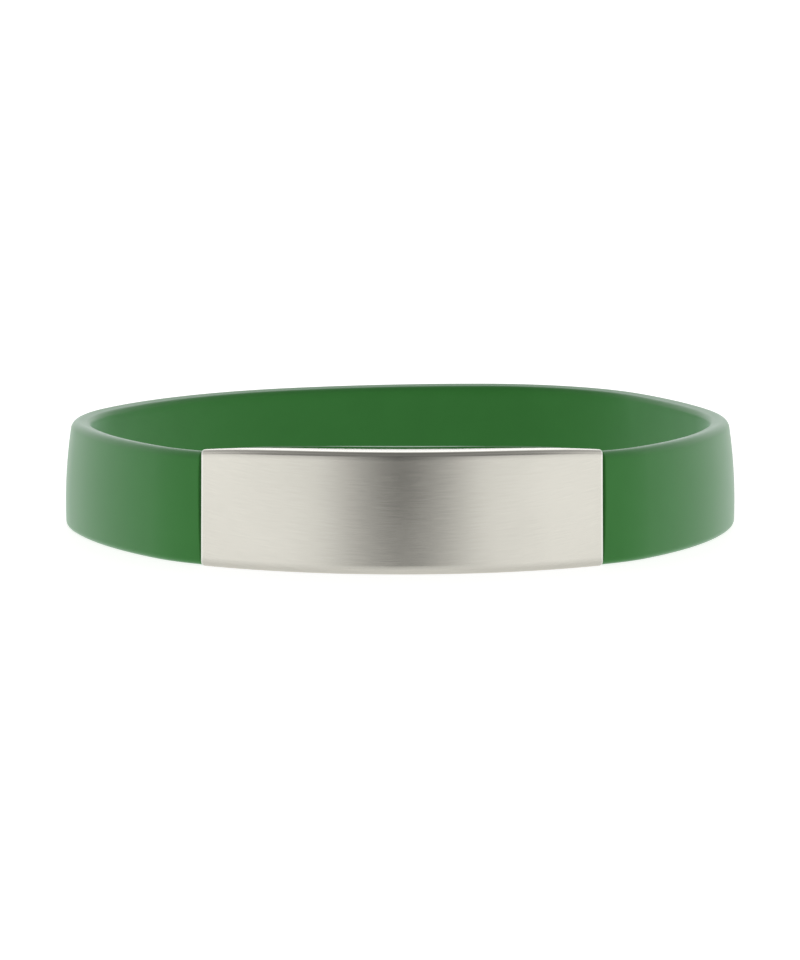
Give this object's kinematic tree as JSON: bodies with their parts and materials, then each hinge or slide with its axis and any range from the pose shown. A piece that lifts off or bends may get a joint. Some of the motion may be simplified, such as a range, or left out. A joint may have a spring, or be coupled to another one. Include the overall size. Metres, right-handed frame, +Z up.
{
  "type": "silicone bracelet",
  "caption": "Closed silicone wristband with a blank, bowed steel identity plate folded over its front, lying on its side.",
  "frame": {"origin": "middle of the whole part in X and Y, at the level of the surface that it rests on", "axes": "+X to the right along the plate, +Y from the plate towards the back of the loop, +Z up across the band"},
  "size_m": [0.069, 0.0666, 0.0116],
  "materials": {
    "silicone": "satin moulded",
    "steel": "satin polished"
  },
  "bodies": {
    "root": {"band": "silicone", "plate": "steel"}
  },
  "joints": []
}
